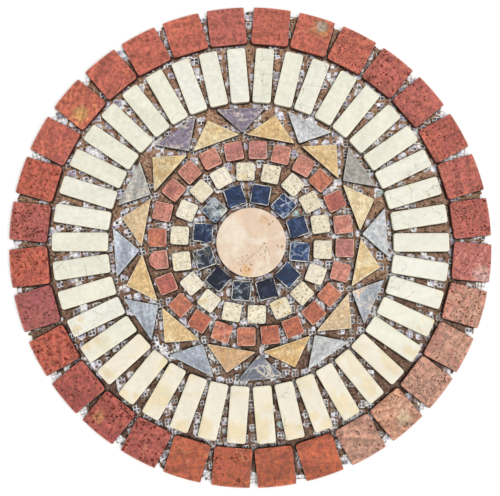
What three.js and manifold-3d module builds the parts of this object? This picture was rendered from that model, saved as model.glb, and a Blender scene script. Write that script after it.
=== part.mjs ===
// A round floor medallion of tumbled stone tiles, laid in rings on a net backing.
// Millimetres, +Z up. It lies face up with the origin at the centre of its back, and +Y is its top.
import * as THREE from "three";
import { mergeVertices } from "three/addons/utils/BufferGeometryUtils.js";
import Module from "manifold-3d";

const wasm = await Module();
wasm.setup();

// Thicknesses. The backing is the glass fibre net with the adhesive that it is soaked in.
const backingThickness = 2;
const tileThickness = 10;
const bondHeight = 1; // how high the adhesive comes up between the tiles of a fused ring
const bondCover = 4; // how far inside a ring's two edges that adhesive stays

// Edges and joints
const tumbledEdge = 1.4; // the worn arris round each tile's face
const sawnEdge = 0.8; // the same on the triangles and the disc, which are cut sharper
const leastJoint = 0.6; // the tightest joint between two tiles that lean towards each other
const panelFacets = 128;

// The centre disc, and the rings round it from the inside outwards. A ring's gap is the space inside it,
// its depth is radial, its joint is the space between neighbours at their inner edge, its first tile's
// angle is anticlockwise from +X, and its leans are how far each tile stands off its own radius.
const discRadius = 43.5;
const discFacets = 48;
const darkRing = {
  gap: 5.25, depth: 25, joint: 1.6, corner: 1.8, count: 12, first: 18.8,
  stray: 0.6, leans: [-2, -3, 1, 0, -1, 7, 1, 0, 6, -3, -1, 6],
};
const creamRing = {
  gap: 4.3, depth: 23, joint: 4.4, corner: 1.8, count: 18, first: 14.5,
  stray: 0.9, leans: [-7, -7, -7, 4, -4, 4, 2, 4, 3, -8, 6, -2, 5, -6, -1, 0, 6, 4],
};
const smallRedRing = {
  gap: 4.3, depth: 23.25, joint: 4.4, corner: 1.6, count: 24, first: 11.4, stray: 0.7,
  leans: [-5, -2, 4, 5, 6, 3, 0, 0, 3, -6, 6, 2, -4, -4, 3, 1, -1, 3, -5, -5, 0, -8, 3, 2],
};
const rayRing = {
  gap: 4.9, depth: 70, joint: 3.1, corner: 2, count: 42, first: 8.6,
  stray: 0.25, leans: [0.3, -0.4, 0.1, 0.5, -0.2, -0.5, 0.2],
};
const outerRing = {
  gap: 5, depth: 47.5, joint: 2.2, corner: 5, count: 32, first: 6.2,
  stray: 0.25, leans: [0.4, -0.5, 0.2, -0.1, 0.6, -0.4, -0.2],
};

// The star: gold triangles point out and grey ones point in between them, all cut to one size.
const starGap = 4.3;
const starCount = 12;
const starFirst = 19.3; // the angle of the first gold triangle
const starJoint = 9; // between the near corners of two gold triangles
const greyTipStep = 6; // how far out the grey tips lie from the gold bases
const triangleCorner = 1.5;
const triangleLeans = [0.6, -0.8, 0.2, 1, -0.5];

const stone = (color, roughness) => new THREE.MeshStandardMaterial({ color, roughness, metalness: 0 });
const netMaterial = stone(0xa3917f, 0.9);
const discMaterial = stone(0xefd5b8, 0.5);
const darkMaterial = stone(0x27344f, 0.55);
const creamMaterial = stone(0xf1e3bd, 0.7);
const smallRedMaterial = stone(0xbb5a46, 0.65);
const goldMaterial = stone(0xd9b06a, 0.55);
const greyMaterial = stone(0xa4abb4, 0.55);
const rayMaterial = stone(0xf0ecd6, 0.5);
const outerRedMaterial = stone(0xb84c3c, 0.65);

const radians = THREE.MathUtils.degToRad;

// A number from -1 to 1 that is always the same for one tile of one ring.
function wobble(seed, index) {
  const wave = Math.sin(seed * 78.233 + index * 12.9898) * 43758.5453;
  return 2 * (wave - Math.floor(wave)) - 1;
}

// A mesh's geometry as a manifold solid, and back.
function solidOf(geometry) {
  const bare = geometry.index ? geometry.toNonIndexed() : geometry.clone();
  bare.deleteAttribute("normal");
  bare.deleteAttribute("uv");
  const merged = mergeVertices(bare, 1e-3);
  return new wasm.Manifold(
    new wasm.Mesh({
      numProp: 3,
      vertProperties: merged.attributes.position.array,
      triVerts: new Uint32Array(merged.index.array),
    }),
  );
}

function geometryOf(solid) {
  const mesh = solid.getMesh();
  const geometry = new THREE.BufferGeometry();
  geometry.setAttribute("position", new THREE.BufferAttribute(mesh.vertProperties, mesh.numProp));
  geometry.setIndex(new THREE.BufferAttribute(mesh.triVerts, 1));
  geometry.computeVertexNormals();
  return geometry;
}

// A closed outline through the corners, each cut back by `round` along both of its edges.
function roundedOutline(corners, round) {
  const outline = new THREE.Shape();
  corners.forEach((corner, i) => {
    const before = corners.at(i - 1);
    const after = corners[(i + 1) % corners.length];
    const start = corner.clone().add(before.clone().sub(corner).setLength(round));
    const end = corner.clone().add(after.clone().sub(corner).setLength(round));
    if (i === 0) outline.moveTo(start.x, start.y);
    else outline.lineTo(start.x, start.y);
    outline.quadraticCurveTo(corner.x, corner.y, end.x, end.y);
  });
  outline.closePath();
  return outline;
}

function rectangleOutline(low, high, halfWidth, round) {
  const corners = [
    new THREE.Vector2(high, -halfWidth),
    new THREE.Vector2(high, halfWidth),
    new THREE.Vector2(low, halfWidth),
    new THREE.Vector2(low, -halfWidth),
  ];
  return roundedOutline(corners, round);
}

// All that lies above the backing, for cutting a tile off flat where it is bedded.
function spaceAboveBacking() {
  const reach = 4 * panelRadius;
  const box = new THREE.BoxGeometry(reach, reach, reach);
  box.translate(0, 0, reach / 2);
  return solidOf(box);
}

// A tile of this outline, flat below at z = 0, with its face's arris worn by `edge`.
function tileSolid(outline, edge, curveSegments) {
  const body = new THREE.ExtrudeGeometry(outline, {
    depth: tileThickness,
    bevelThickness: edge,
    bevelSize: edge,
    bevelOffset: -edge,
    bevelSegments: 1,
    curveSegments,
  });
  body.translate(0, 0, -edge);
  return solidOf(body).intersect(spaceAboveBacking());
}

// The angle of each tile's centre line in a ring, with what it strays from an even pitch.
function centreAngles(ring) {
  return Array.from({ length: ring.count }, (_, i) => {
    const even = ring.first + (360 * i) / ring.count;
    return radians(even + ring.stray * wobble(ring.count, i));
  });
}

const leanOf = (ring, i) => radians(ring.leans[i % ring.leans.length]);

// Half the width that lets a leaning tile keep its joint to the line midway to one neighbour.
// `side` is 1 for the neighbour anticlockwise and -1 for the other.
function halfWidthTowards(ring, lean, halfAngle, side) {
  const middle = ring.inner + ring.depth / 2;
  const turn = halfAngle - side * lean;
  const room = middle * Math.sin(halfAngle) - (ring.depth / 2) * Math.abs(Math.sin(turn));
  return (room - leastJoint / 2) / Math.cos(turn);
}

// Each tile of a ring: where its centre is, how it is turned, and its half width and half depth.
// A tile that leans is nipped where it would come too near its neighbours or the next ring.
function laidTiles(ring) {
  const angles = centreAngles(ring);
  const halfPitch = Math.PI / ring.count;
  const evenHalfWidth = ring.inner * Math.tan(halfPitch) - ring.joint / 2 / Math.cos(halfPitch);
  return angles.map((angle, i) => {
    const lean = leanOf(ring, i);
    const ahead = (angles[(i + 1) % ring.count] - angle + 2 * Math.PI) % (2 * Math.PI);
    const behind = (angle - angles.at(i - 1) + 2 * Math.PI) % (2 * Math.PI);
    const halfWidth = Math.min(
      evenHalfWidth,
      halfWidthTowards(ring, lean, ahead / 2, 1),
      halfWidthTowards(ring, lean, behind / 2, -1),
    );
    const slack = (ring.gap - leastJoint) / 2;
    const halfDepth = Math.min(
      ring.depth / 2,
      (ring.depth / 2 + slack - halfWidth * Math.abs(Math.sin(lean))) / Math.cos(lean),
    );
    return { angle, lean, halfWidth, halfDepth, middle: ring.inner + ring.depth / 2 };
  });
}

// The rings' inner radii, from the disc outwards.
darkRing.inner = discRadius + darkRing.gap;
creamRing.inner = darkRing.inner + darkRing.depth + creamRing.gap;
smallRedRing.inner = creamRing.inner + creamRing.depth + smallRedRing.gap;
const goldBase = smallRedRing.inner + smallRedRing.depth + starGap;
const halfStarPitch = Math.PI / starCount;
const triangleHalf = goldBase * Math.tan(halfStarPitch) - starJoint / 2 / Math.cos(halfStarPitch);
const greyTip = goldBase + greyTipStep;
const starReach = Math.hypot(greyTip + triangleHalf, triangleHalf);
rayRing.inner = starReach + rayRing.gap;
outerRing.inner = rayRing.inner + rayRing.depth + outerRing.gap;
const panelRadius = outerRing.inner + outerRing.depth;

const medallion = new THREE.Group();

function addPiece(name, solid, material, x, y, turn) {
  const mesh = new THREE.Mesh(geometryOf(solid), material);
  mesh.name = name;
  mesh.position.set(x, y, backingThickness);
  mesh.rotation.z = turn;
  medallion.add(mesh);
}

// The net with its adhesive: one flat disc that all the tiles are bedded on, its top at their underside.
function addBacking() {
  const disc = new THREE.CylinderGeometry(panelRadius, panelRadius, backingThickness, panelFacets);
  disc.rotateX(Math.PI / 2);
  disc.translate(0, 0, -backingThickness / 2);
  addPiece("net_backing", solidOf(disc), netMaterial, 0, 0, 0);
}

function addCentreDisc() {
  const profile = [
    new THREE.Vector2(0, 0),
    new THREE.Vector2(discRadius, 0),
    new THREE.Vector2(discRadius, tileThickness - sawnEdge),
    new THREE.Vector2(discRadius - sawnEdge, tileThickness),
    new THREE.Vector2(0, tileThickness),
  ];
  const disc = new THREE.LatheGeometry(profile, discFacets);
  disc.rotateX(Math.PI / 2);
  addPiece("centre_disc", solidOf(disc), discMaterial, 0, 0, 0);
}

const numbered = (name, i) => name + "_" + String(i + 1).padStart(2, "0");

// A ring whose tiles are pieces of their own.
function addTiles(name, ring, material) {
  laidTiles(ring).forEach((tile, i) => {
    const { halfDepth, halfWidth, middle, angle, lean } = tile;
    const outline = rectangleOutline(-halfDepth, halfDepth, halfWidth, ring.corner);
    const x = middle * Math.cos(angle);
    const y = middle * Math.sin(angle);
    addPiece(numbered(name, i), tileSolid(outline, tumbledEdge, 1), material, x, y, angle + lean);
  });
}

// The adhesive that stands between a ring's tiles and holds them together as one ring.
// Its flats run from the middle of one tile to the middle of the next.
function bondSolid(ring) {
  const low = ring.inner + bondCover;
  const high = ring.inner + ring.depth - bondCover;
  const profile = [
    new THREE.Vector2(low, 0),
    new THREE.Vector2(high, 0),
    new THREE.Vector2(high, bondHeight),
    new THREE.Vector2(low, bondHeight),
    new THREE.Vector2(low, 0),
  ];
  const band = new THREE.LatheGeometry(profile, ring.count);
  band.rotateX(Math.PI / 2);
  band.rotateZ(radians(ring.first) + Math.PI / 2);
  return solidOf(band);
}

// A ring whose tiles are fused by the adhesive between them. `spare` is stock past its outer edge.
function fusedRing(ring, spare, curveSegments) {
  let fused = bondSolid(ring);
  laidTiles(ring).forEach(({ halfDepth, halfWidth, middle, angle, lean }) => {
    const outline = rectangleOutline(-halfDepth, halfDepth + spare, halfWidth, ring.corner);
    const laid = new THREE.Matrix4().makeRotationZ(angle + lean);
    laid.setPosition(middle * Math.cos(angle), middle * Math.sin(angle), 0);
    const tile = geometryOf(tileSolid(outline, tumbledEdge, curveSegments)).applyMatrix4(laid);
    fused = fused.add(solidOf(tile));
  });
  return fused;
}

// The outermost ring is cut round after it is laid, so its outer edges are arcs of the panel's circle.
function addOuterRing() {
  const spare = 2 * outerRing.corner;
  const round = new THREE.CylinderGeometry(panelRadius, panelRadius, 4 * tileThickness, panelFacets);
  round.rotateX(Math.PI / 2);
  const ring = fusedRing(outerRing, spare, 2).intersect(solidOf(round));
  addPiece("outer_red_ring", ring, outerRedMaterial, 0, 0, 0);
}

// A right-angled triangle with its long side square to the radius, its tip at local +X.
function triangleSolid() {
  const corners = [
    new THREE.Vector2(0, -triangleHalf),
    new THREE.Vector2(triangleHalf, 0),
    new THREE.Vector2(0, triangleHalf),
  ];
  return tileSolid(roundedOutline(corners, triangleCorner), sawnEdge, 1);
}

function addStar() {
  for (let i = 0; i < starCount; i++) {
    const goldAngle = radians(starFirst + (360 * i) / starCount);
    const greyAngle = goldAngle - halfStarPitch;
    const lean = radians(triangleLeans[i % triangleLeans.length]);
    const greyBase = greyTip + triangleHalf;
    addPiece(
      numbered("gold_triangle", i), triangleSolid(), goldMaterial,
      goldBase * Math.cos(goldAngle), goldBase * Math.sin(goldAngle), goldAngle + lean,
    );
    addPiece(
      numbered("grey_triangle", i), triangleSolid(), greyMaterial,
      greyBase * Math.cos(greyAngle), greyBase * Math.sin(greyAngle), greyAngle + Math.PI - lean,
    );
  }
}

addBacking();
addCentreDisc();
addTiles("dark_tile", darkRing, darkMaterial);
addTiles("cream_tile", creamRing, creamMaterial);
addPiece("small_red_ring", fusedRing(smallRedRing, 0, 1), smallRedMaterial, 0, 0, 0);
addStar();
addPiece("cream_ray_ring", fusedRing(rayRing, 0, 1), rayMaterial, 0, 0, 0);
addOuterRing();

export default medallion;
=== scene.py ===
# Stone mosaic medallion: its tumbled tiles, the glass fibre net and the adhesive they are bedded in.
# Sizes are in millimetres until they reach a mesh, which is in metres like the frame.
import math
import random

import bmesh
import bpy
from mathutils import Matrix, Vector, noise
from mathutils.bvhtree import BVHTree


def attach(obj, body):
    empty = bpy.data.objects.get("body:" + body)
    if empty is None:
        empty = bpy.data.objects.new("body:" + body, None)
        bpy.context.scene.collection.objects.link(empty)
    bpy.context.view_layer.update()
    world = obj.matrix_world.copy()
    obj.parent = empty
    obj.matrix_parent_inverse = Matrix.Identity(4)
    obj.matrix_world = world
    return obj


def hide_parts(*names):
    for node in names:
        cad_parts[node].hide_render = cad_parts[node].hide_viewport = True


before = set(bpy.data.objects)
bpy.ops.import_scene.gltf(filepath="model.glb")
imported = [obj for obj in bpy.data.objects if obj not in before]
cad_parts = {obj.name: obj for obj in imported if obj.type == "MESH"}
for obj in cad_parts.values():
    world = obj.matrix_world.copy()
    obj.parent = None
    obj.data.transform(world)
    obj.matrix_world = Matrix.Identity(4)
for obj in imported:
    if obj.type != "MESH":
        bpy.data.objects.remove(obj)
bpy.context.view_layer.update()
mm = 0.001
print("frame loaded,", len(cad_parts), "nodes")

# Camera: above the panel and a little to its lower side, as in the photograph
cameraLook = {
    "place": (-18.2, -107.5, 1207.1),
    "target": (0, 0, 12),
    "lens": 69.48,
    "shift": (-0.0024, -0.0114),
}

studioLook = {
    "world": 0.55,
    "sun": 2.05,
    "sunSpread": 40,
    "sunFrom": (0.4, -0.3, 1.9),
    "floorSize": 60.0,
    "floorColour": "FBFBFA",
}


def paint(code, level=1.0):
    # "RRGGBB" as the linear colour that a shader takes
    channels = [int(code[i:i + 2], 16) / 255 for i in (0, 2, 4)]
    linear = [c / 12.92 if c <= 0.04045 else ((c + 0.055) / 1.055) ** 2.4 for c in channels]
    return (*(c * level for c in linear), 1.0)


def addCamera():
    data = bpy.data.cameras.new("camera")
    data.lens = cameraLook["lens"]
    data.shift_x, data.shift_y = cameraLook["shift"]
    camera = bpy.data.objects.new("camera", data)
    bpy.context.scene.collection.objects.link(camera)
    place = Vector(cameraLook["place"]) * mm
    ahead = (Vector(cameraLook["target"]) * mm - place).normalized()
    right = ahead.cross(Vector((0, 1, 0))).normalized()
    turned = Matrix((right, right.cross(ahead), -ahead)).transposed()
    camera.matrix_world = Matrix.Translation(place) @ turned.to_4x4()
    bpy.context.scene.camera = camera


def addStudio():
    world = bpy.data.worlds.new("studio")
    world.use_nodes = True
    world.node_tree.nodes["Background"].inputs["Strength"].default_value = studioLook["world"]
    world.node_tree.nodes["Background"].inputs["Color"].default_value = (1, 1, 1, 1)
    bpy.context.scene.world = world
    data = bpy.data.lights.new("softbox", "SUN")
    data.energy = studioLook["sun"]
    data.angle = math.radians(studioLook["sunSpread"])
    lamp = bpy.data.objects.new("softbox", data)
    bpy.context.scene.collection.objects.link(lamp)
    lamp.rotation_euler = (-Vector(studioLook["sunFrom"])).to_track_quat("-Z", "Y").to_euler()
    bpy.context.scene.view_settings.view_transform = "Standard"


# Laying out the rings, with the same sizes as the solids
panel = {"backing": 2, "thickness": 10, "leastJoint": 0.6, "discRadius": 43.5, "rimFacets": 384}
darkRing = {
    "gap": 5.25, "depth": 25, "joint": 1.6, "count": 12, "first": 18.8, "stray": 0.6,
    "leans": [-2, -3, 1, 0, -1, 7, 1, 0, 6, -3, -1, 6],
}
creamRing = {
    "gap": 4.3, "depth": 23, "joint": 4.4, "count": 18, "first": 14.5, "stray": 0.9,
    "leans": [-7, -7, -7, 4, -4, 4, 2, 4, 3, -8, 6, -2, 5, -6, -1, 0, 6, 4],
}
smallRedRing = {
    "gap": 4.3, "depth": 23.25, "joint": 4.4, "count": 24, "first": 11.4, "stray": 0.7,
    "leans": [-5, -2, 4, 5, 6, 3, 0, 0, 3, -6, 6, 2, -4, -4, 3, 1, -1, 3, -5, -5, 0, -8, 3, 2],
}
starLayout = {
    "gap": 4.3, "count": 12, "first": 19.3, "joint": 9, "tipStep": 6,
    "leans": [0.6, -0.8, 0.2, 1, -0.5],
}
rayRing = {
    "gap": 4.9, "depth": 70, "joint": 3.1, "count": 42, "first": 8.6, "stray": 0.25,
    "leans": [0.3, -0.4, 0.1, 0.5, -0.2, -0.5, 0.2],
}
outerRing = {
    "gap": 5, "depth": 47.5, "joint": 2.2, "count": 32, "first": 6.2, "stray": 0.25,
    "leans": [0.4, -0.5, 0.2, -0.1, 0.6, -0.4, -0.2],
}

darkRing["inner"] = panel["discRadius"] + darkRing["gap"]
creamRing["inner"] = darkRing["inner"] + darkRing["depth"] + creamRing["gap"]
smallRedRing["inner"] = creamRing["inner"] + creamRing["depth"] + smallRedRing["gap"]
goldBase = smallRedRing["inner"] + smallRedRing["depth"] + starLayout["gap"]
halfStarPitch = math.pi / starLayout["count"]
triangleHalf = goldBase * math.tan(halfStarPitch) - starLayout["joint"] / 2 / math.cos(halfStarPitch)
greyTip = goldBase + starLayout["tipStep"]
greyBase = greyTip + triangleHalf
rayRing["inner"] = math.hypot(greyBase, triangleHalf) + rayRing["gap"]
outerRing["inner"] = rayRing["inner"] + rayRing["depth"] + outerRing["gap"]
panelRadius = outerRing["inner"] + outerRing["depth"]


def wobble(seed, index):
    wave = math.sin(seed * 78.233 + index * 12.9898) * 43758.5453
    return 2 * (wave - math.floor(wave)) - 1


def halfWidthTowards(ring, lean, halfAngle, side):
    middle = ring["inner"] + ring["depth"] / 2
    turn = halfAngle - side * lean
    room = middle * math.sin(halfAngle) - ring["depth"] / 2 * abs(math.sin(turn))
    return (room - panel["leastJoint"] / 2) / math.cos(turn)


def laidTiles(ring):
    # where each tile's centre is, how it is turned, and its half width and half depth
    count = ring["count"]
    angles = [
        math.radians(ring["first"] + 360 * i / count + ring["stray"] * wobble(count, i))
        for i in range(count)
    ]
    halfPitch = math.pi / count
    evenHalfWidth = ring["inner"] * math.tan(halfPitch) - ring["joint"] / 2 / math.cos(halfPitch)
    slack = (ring["gap"] - panel["leastJoint"]) / 2
    tiles = []
    for i, angle in enumerate(angles):
        lean = math.radians(ring["leans"][i % len(ring["leans"])])
        ahead = (angles[(i + 1) % count] - angle) % (2 * math.pi)
        behind = (angle - angles[i - 1]) % (2 * math.pi)
        halfWidth = min(
            evenHalfWidth,
            halfWidthTowards(ring, lean, ahead / 2, 1),
            halfWidthTowards(ring, lean, behind / 2, -1),
        )
        nipped = (ring["depth"] / 2 + slack - halfWidth * abs(math.sin(lean))) / math.cos(lean)
        tiles.append({
            "radius": ring["inner"] + ring["depth"] / 2,
            "angle": angle,
            "turn": angle + lean,
            "halfWidth": halfWidth,
            "halfDepth": min(ring["depth"] / 2, nipped),
        })
    return tiles


# Modelling: a block is started from a primitive and shaped in edit mode
def deselectAll():
    if bpy.context.mode != "OBJECT":
        bpy.ops.object.mode_set(mode="OBJECT")
    bpy.ops.object.select_all(action="DESELECT")


def select(piece):
    deselectAll()
    piece.select_set(True)
    bpy.context.view_layer.objects.active = piece


def pick(piece, mode, wanted):
    # in edit mode, selects the faces or edges for which wanted is true
    bpy.ops.mesh.select_mode(type=mode)
    bpy.ops.mesh.select_all(action="DESELECT")
    mesh = bmesh.from_edit_mesh(piece.data)
    for part in mesh.faces if mode == "FACE" else mesh.edges:
        if wanted(part):
            part.select_set(True)
    bmesh.update_edit_mesh(piece.data)


def isUpright(edge):
    along = edge.verts[0].co - edge.verts[1].co
    return abs(along.z) > 0.9 * along.length


def isTopRim(edge):
    return min(vertex.co.z for vertex in edge.verts) > (panel["thickness"] - 0.01) * mm


def startBlock(name, low, length, width):
    deselectAll()
    height = panel["thickness"] * mm
    bpy.ops.mesh.primitive_cube_add(size=1, location=((low + length / 2) * mm, 0, height / 2))
    block = bpy.context.object
    block.name = name
    block.scale = (length * mm, width * mm, height)
    bpy.ops.object.transform_apply(location=True, rotation=False, scale=True)
    bpy.ops.object.mode_set(mode="EDIT")
    return block


def finishBlock(block, corner, edge, cell):
    # rounds the upright corners, wears the face's arris and cuts the block into a fine lattice
    if corner:
        pick(block, "EDGE", isUpright)
        bpy.ops.mesh.bevel(offset=corner * mm, segments=3, affect="EDGES")
    pick(block, "EDGE", isTopRim)
    bpy.ops.mesh.bevel(offset=edge * mm, segments=2, affect="EDGES")
    for axis in range(3):
        places = [vertex.co[axis] for vertex in bmesh.from_edit_mesh(block.data).verts]
        low, high = min(places), max(places)
        steps = max(3, round((high - low) / (cell * mm))) if axis < 2 else 4
        for i in range(1, steps):
            at = [0, 0, 0]
            at[axis] = low + (high - low) * i / steps
            normal = [float(axis == k) for k in range(3)]
            bpy.ops.mesh.select_all(action="SELECT")
            bpy.ops.mesh.bisect(plane_co=at, plane_no=normal)
    bpy.ops.object.mode_set(mode="OBJECT")


def modelBlock(name, low, length, width, look):
    block = startBlock(name, low, length, width)
    finishBlock(block, look["corner"], look["edge"], look["cell"])
    return block


def modelTriangle(name, look):
    # a block with its two outer corners sawn off at 45 degrees, so that its tip points along +X
    block = startBlock(name, 0, triangleHalf, 2 * triangleHalf)
    for side in (1, -1):
        bpy.ops.mesh.select_all(action="SELECT")
        bpy.ops.mesh.bisect(
            plane_co=(triangleHalf * mm, 0, 0), plane_no=(1, side, 0), use_fill=True, clear_outer=True
        )
    finishBlock(block, look["corner"], look["edge"], look["cell"])
    return block


def modelDisc(name, look):
    deselectAll()
    height = panel["thickness"] * mm
    bpy.ops.mesh.primitive_cylinder_add(
        vertices=look["facets"], radius=panel["discRadius"] * mm, depth=height, location=(0, 0, height / 2)
    )
    disc = bpy.context.object
    disc.name = name
    bpy.ops.object.transform_apply(location=True, rotation=False, scale=False)
    bpy.ops.object.mode_set(mode="EDIT")
    finishBlock(disc, 0, look["edge"], look["cell"])
    return disc


def copyOf(master, name):
    piece = master.copy()
    piece.data = master.data.copy()
    piece.name = name
    bpy.context.scene.collection.objects.link(piece)
    return piece


# Sides of a tile's outline: each is the direction it faces and how far it lies from the tile's centre
def blockSides(halfDepth, halfWidth):
    return [(1, 0, halfDepth), (-1, 0, halfDepth), (0, 1, halfWidth), (0, -1, halfWidth)]


def triangleSides():
    slant = math.sqrt(0.5)
    return [(-1, 0, 0), (slant, slant, triangleHalf * slant), (slant, -slant, triangleHalf * slant)]


def discSides():
    steps = 24
    return [
        (math.cos(2 * math.pi * k / steps), math.sin(2 * math.pi * k / steps), panel["discRadius"])
        for k in range(steps)
    ]


outlineFade = 3  # how far in from a side its waviness has faded away


def weather(piece, sides, look, seed):
    # moves the vertices in a little, as tumbling does: a wavy outline, an uneven face, nicked arrises
    top = panel["thickness"]
    shift = Vector((seed * 3.7, seed * 1.3, seed * 2.1))
    for vertex in piece.data.vertices:
        x, y, z = (value / mm for value in vertex.co)
        here = Vector((x, y, z)) + shift
        nearest = min(reach - (x * nx + y * ny) for nx, ny, reach in sides)
        for nx, ny, reach in sides:
            distance = reach - (x * nx + y * ny)
            if distance < outlineFade:
                wave = 0.5 + 0.5 * noise.noise(here * look["waviness"])
                x -= nx * look["outline"] * wave * (1 - distance / outlineFade)
                y -= ny * look["outline"] * wave * (1 - distance / outlineFade)
        if z > top - look["edge"] - 0.2:
            roll = 0.5 + 0.5 * noise.noise(here * 0.11)
            grit = 0.5 + 0.5 * noise.noise(here * 0.55)
            z -= look["uneven"] * (0.7 * roll + 0.3 * grit)
            if nearest < look["edge"] + 0.6:
                nick = max(0, noise.noise(here * look["nickPitch"]) - look["nickFrom"])
                z -= nick * look["nick"]
        vertex.co = Vector((x, y, z)) * mm


def pitPlaces(rng, halfDepth, halfWidth, pits):
    # pits lie in loose bands across the tile and don't touch each other
    places = []
    bandTurn = rng.uniform(-0.5, 0.5)
    bandShift = rng.uniform(0, 100)
    for _ in range(pits["count"] * 8):
        if len(places) == pits["count"]:
            break
        x = rng.uniform(-halfDepth, halfDepth)
        y = rng.uniform(-halfWidth, halfWidth)
        across = x * math.cos(bandTurn) + y * math.sin(bandTurn)
        band = 0.5 + 0.5 * noise.noise(Vector((across * 0.16, y * 0.03, bandShift)))
        if rng.random() > 0.25 + 1.2 * band * pits.get("banded", 0.5):
            continue
        length = pits["least"] + (pits["most"] - pits["least"]) * rng.random() ** 1.7
        width = length * rng.uniform(0.4, 0.95)
        clear = all(math.hypot(x - p[0], y - p[1]) > 0.56 * (length + p[2]) + 0.12 for p in places)
        if clear:
            places.append((x, y, length, width, rng.uniform(0, math.pi)))
    return places


def cutPits(piece, places, top, seed):
    # one boolean takes out all of a tile's pits, each a lumpy little cutter sunk in its face at top
    if not places:
        return
    rng = random.Random(seed)
    cutter = bmesh.new()
    for x, y, length, width, turn in places:
        depth = min(3.6, 0.9 * width + 0.5)
        rounds = bmesh.ops.create_icosphere(cutter, subdivisions=2 if length > 1.6 else 1, radius=0.5)
        place = Matrix.Translation(Vector((x, y, top)) * mm)
        place @= Matrix.Rotation(turn, 4, "Z")
        place @= Matrix.Diagonal((length * mm, width * mm, 2 * depth * mm, 1))
        for vertex in rounds["verts"]:
            dent = 1 + 0.32 * (rng.random() - 0.5)
            vertex.co = place @ (vertex.co * dent)
    mesh = bpy.data.meshes.new("pits")
    cutter.to_mesh(mesh)
    cutter.free()
    tool = bpy.data.objects.new("pits", mesh)
    bpy.context.scene.collection.objects.link(tool)
    applyBoolean(piece, tool, "DIFFERENCE")
    bpy.data.objects.remove(tool)


def applyBoolean(piece, tool, operation):
    select(piece)
    change = piece.modifiers.new("cut", "BOOLEAN")
    change.object = tool
    change.operation = operation
    change.solver = "MANIFOLD"
    bpy.ops.object.modifier_apply(modifier=change.name)


def storePoints(mesh, name, kind, values):
    # one value for each vertex; kind is FLOAT, FLOAT_VECTOR or FLOAT_COLOR
    made = mesh.attributes.new(name, kind, "POINT")
    field = {"FLOAT": "value", "FLOAT_VECTOR": "vector", "FLOAT_COLOR": "color"}[kind]
    made.data.foreach_set(field, values)


stoneLevel = 0.83  # the tones are read off the lit stone, which is brighter than what it reflects
stainAndShadeColour = "3C2A22"  # adhesive and dust that have crept up a tile's walls, darker still as painted shade at the walls' foot
smoothAngle = math.radians(38)
laidStones = []


def markStone(piece, place, sides, stone, seed):
    # what the stone's material reads: its place in the block it was cut from, the distance to the
    # tile's rim, its two tones, and its habit: banding, specks, share of the second tone, veins
    rng = random.Random(seed)
    block = Matrix.Rotation(rng.uniform(-0.5, 0.5) + stone.get("grainTurn", 0), 4, "Z")
    offset = Vector([rng.uniform(0, 3) for _ in range(3)])
    back = place.inverted()
    stonePlace, rim = [], []
    for vertex in piece.data.vertices:
        local = back @ vertex.co
        stonePlace.extend(block @ local + offset)
        x, y = local.x / mm, local.y / mm
        distance = min(reach - (x * nx + y * ny) for nx, ny, reach in sides)
        rim.append(max(0, min(distance, panelRadius - vertex.co.xy.length / mm)) * mm)
    count = len(piece.data.vertices)
    storePoints(piece.data, "stonePlace", "FLOAT_VECTOR", stonePlace)
    storePoints(piece.data, "rimDistance", "FLOAT", rim)
    storePoints(piece.data, "tone", "FLOAT_COLOR", list(paint(stone["tone"], stoneLevel)) * count)
    storePoints(piece.data, "secondTone", "FLOAT_COLOR", list(paint(stone["second"], stoneLevel)) * count)
    storePoints(piece.data, "habit", "FLOAT_COLOR", list(stone["habit"]) * count)
    for patch in stone.get("patches", []):
        stainPatch(piece, back, patch)
    laidStones.append(piece)


def stainPatch(piece, back, patch):
    # a ragged round patch: x, y and reach on the tile, then another colour or None, more veins or None
    x, y, reach, code, veining = patch
    layers = piece.data.attributes
    for vertex in piece.data.vertices:
        local = back @ vertex.co / mm
        away = math.hypot(local.x - x, local.y - y) / reach
        cover = max(0, min(1, 2.5 * (1 - away + 0.5 * noise.noise(local * 0.2))))
        for name in ("tone", "secondTone") if code else ():
            spot = layers[name].data[vertex.index]
            spot.color = Vector(spot.color).lerp(Vector(paint(code, stoneLevel)), cover)
        if veining:
            spot = layers["habit"].data[vertex.index]
            spot.color[3] += (veining - spot.color[3]) * cover


def standPlace(radius, angle, turn):
    place = Vector((radius * math.cos(angle), radius * math.sin(angle), panel["backing"])) * mm
    return Matrix.Translation(place) @ Matrix.Rotation(turn, 4, "Z")


def addPiece(piece, material, nodes):
    if not piece.data.materials:
        piece.data.materials.append(material)
    piece.data.materials[0] = material
    select(piece)
    bpy.ops.object.shade_smooth_by_angle(angle=smoothAngle)
    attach(piece, "root")
    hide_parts(*nodes)


# Node trees
def feed(tree, made, inputs):
    # a socket is linked to the input, and anything else is set as its value
    for name, value in inputs.items():
        if isinstance(value, bpy.types.NodeSocket):
            tree.links.new(value, made.inputs[name])
        else:
            made.inputs[name].default_value = value
    return made


def put(tree, kind, inputs=None, **settings):
    made = tree.nodes.new("ShaderNode" + kind)
    for name, value in settings.items():
        setattr(made, name, value)
    return feed(tree, made, inputs or {})


def calc(tree, operation, *values, clamp=False):
    inputs = dict(enumerate(values))
    return put(tree, "Math", inputs, operation=operation, use_clamp=clamp).outputs[0]


def ramp(tree, value, low, high, start=0.0, end=1.0):
    inputs = {"Value": value, "From Min": low, "From Max": high, "To Min": start, "To Max": end}
    return put(tree, "MapRange", inputs, interpolation_type="SMOOTHSTEP").outputs["Result"]


def mixColours(tree, factor, first, second, mode="MIX"):
    inputs = {0: factor, 6: first, 7: second}
    return put(tree, "Mix", inputs, data_type="RGBA", blend_type=mode).outputs[2]


def noiseOf(tree, vector, scale, detail=3.0, roughness=0.55, distortion=0.0):
    inputs = {
        "Vector": vector, "Scale": scale, "Detail": detail, "Roughness": roughness,
        "Distortion": distortion,
    }
    return put(tree, "TexNoise", inputs).outputs["Fac"]


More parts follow.
